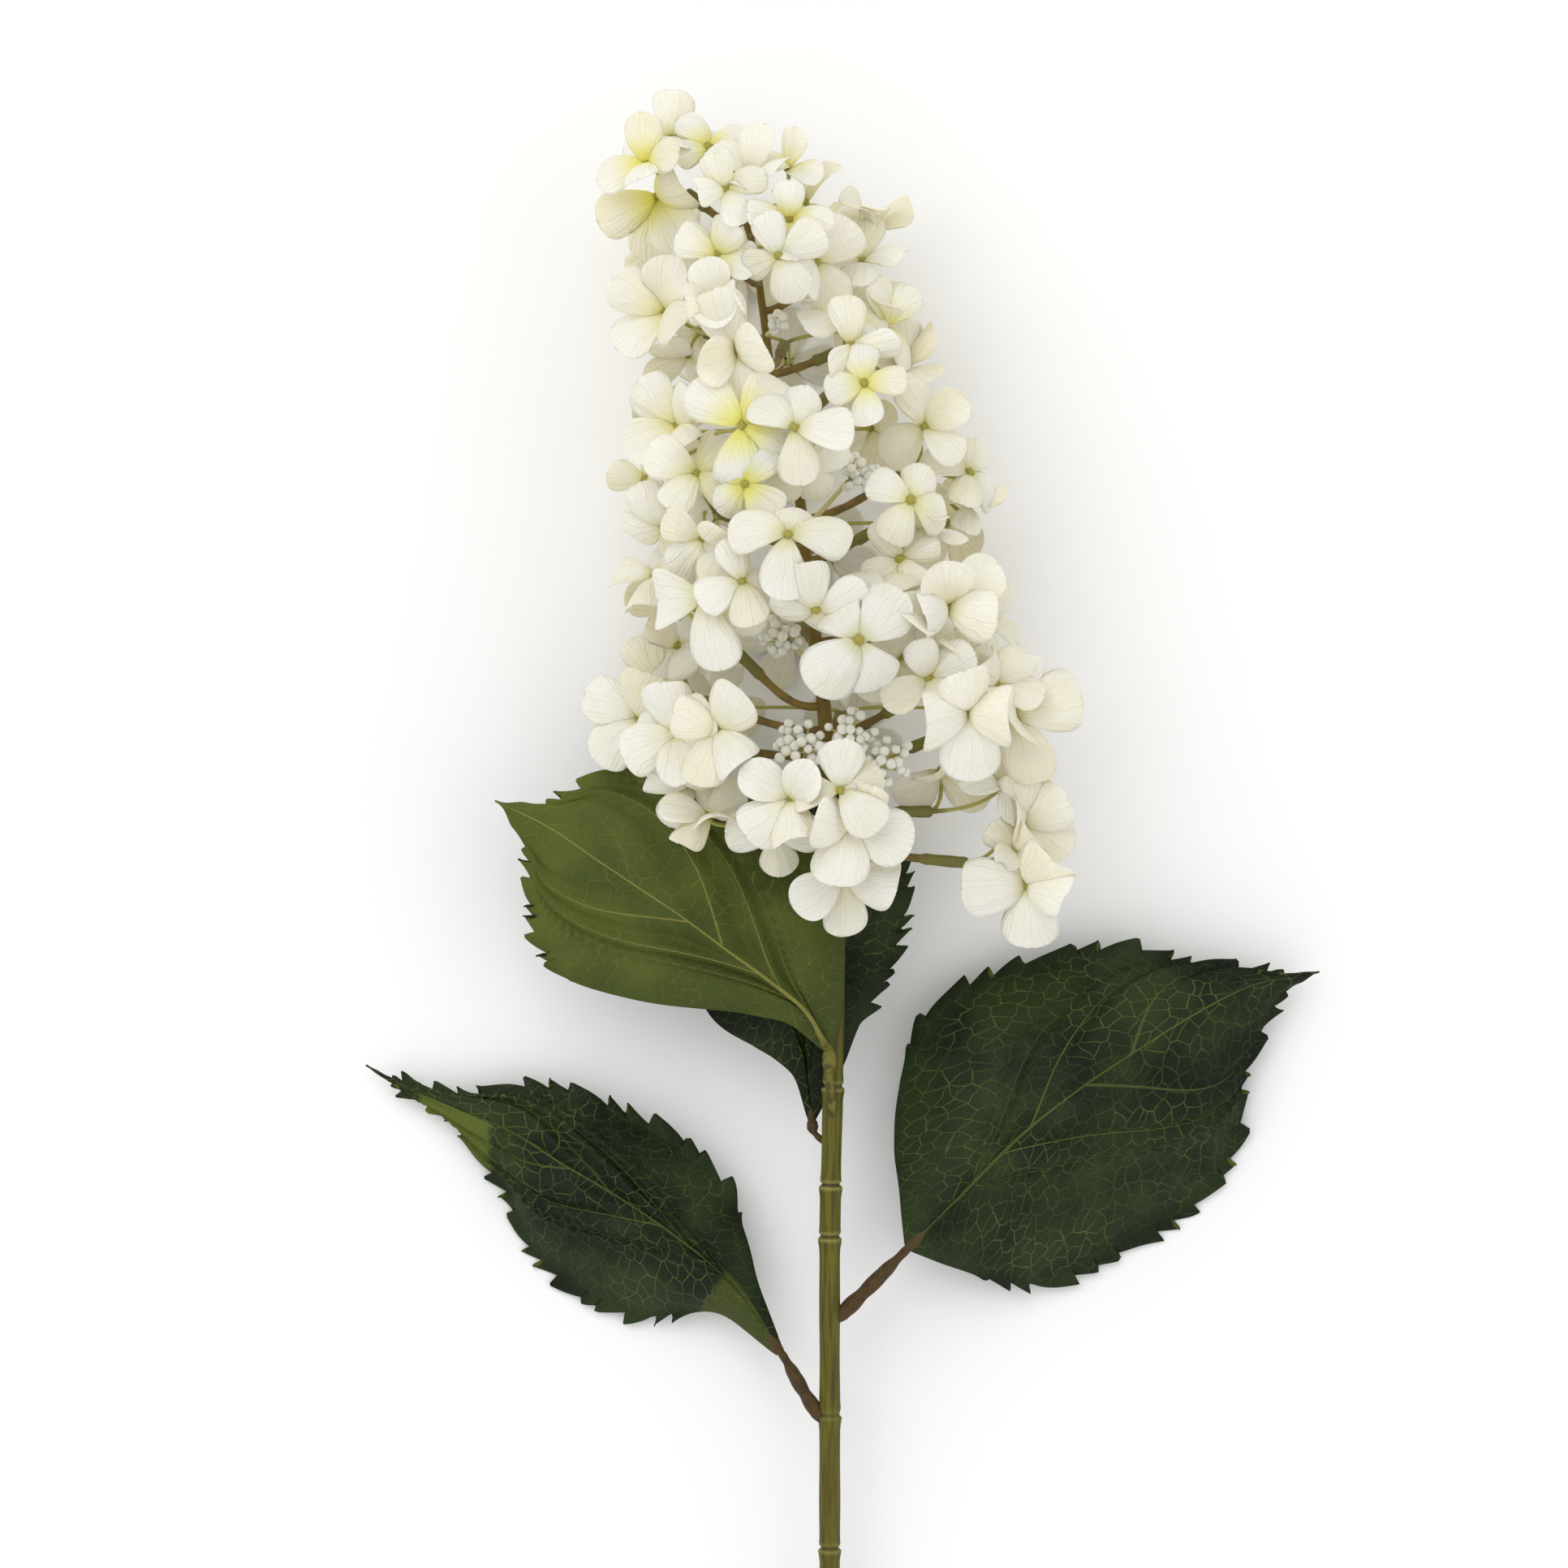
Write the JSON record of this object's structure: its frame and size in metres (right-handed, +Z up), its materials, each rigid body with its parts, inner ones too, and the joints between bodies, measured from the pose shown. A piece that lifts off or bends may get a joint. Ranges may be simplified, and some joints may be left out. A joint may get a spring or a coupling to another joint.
{
  "type": "cut_hydrangea_spray",
  "caption": "Cut spray of panicle hydrangea laid on its side, with a long cone of ivory florets, toothed green leaves and a jointed green stem",
  "frame": {"origin": "under the middle of the spray, on the surface that it lies on", "axes": "+Y along the stem towards the tip of the flower head, +Z up, +X to the right as the head is seen from above"},
  "size_m": [0.3213, 0.6299, 0.1166],
  "materials": {
    "stem_green": "olive green moulded plastic with ring joints",
    "leaf_dark": "dark green printed cloth leaf with a light net of veins",
    "leaf_pale": "mid green underside of a printed cloth leaf with raised pale veins",
    "petal_ivory": "ivory cloth petals, some yellow-green at their base",
    "bud_white": "milky white bud beads"
  },
  "bodies": {
    "root": {"bud_tuft_1": "bud_white", "bud_tuft_2": "bud_white", "bud_tuft_3": "bud_white", "bud_tuft_4": "bud_white", "bud_tuft_5": "bud_white", "bud_tuft_6": "bud_white", "flower_branch_01": "petal_ivory", "flower_branch_02": "petal_ivory", "flower_branch_03": "petal_ivory", "flower_branch_04": "petal_ivory", "flower_branch_05": "petal_ivory", "flower_branch_06": "petal_ivory", "flower_branch_07": "petal_ivory", "flower_branch_08": "petal_ivory", "flower_branch_09": "petal_ivory", "flower_branch_10": "petal_ivory", "flower_branch_11": "petal_ivory", "flower_branch_12": "petal_ivory", "flower_branch_13": "petal_ivory", "flower_branch_14": "petal_ivory", "flower_branch_15": "petal_ivory", "flower_branch_16": "petal_ivory", "flower_branch_17": "petal_ivory", "flower_branch_18": "petal_ivory", "flower_branch_19": "petal_ivory", "flower_branch_20": "petal_ivory", "flower_branch_21": "petal_ivory", "flower_branch_22": "petal_ivory", "flower_branch_23": "petal_ivory", "flower_branch_24": "petal_ivory", "flower_branch_25": "petal_ivory", "flower_branch_26": "petal_ivory", "flower_branch_27": "petal_ivory", "flower_branch_28": "petal_ivory", "flower_branch_29": "petal_ivory", "flower_branch_30": "petal_ivory", "flower_branch_31": "petal_ivory", "leaf_lower_left": "leaf_dark", "leaf_lower_right": "leaf_dark", "leaf_upper_back": "leaf_dark", "leaf_upper_front": "leaf_pale", "stem": "stem_green"}
  },
  "joints": []
}
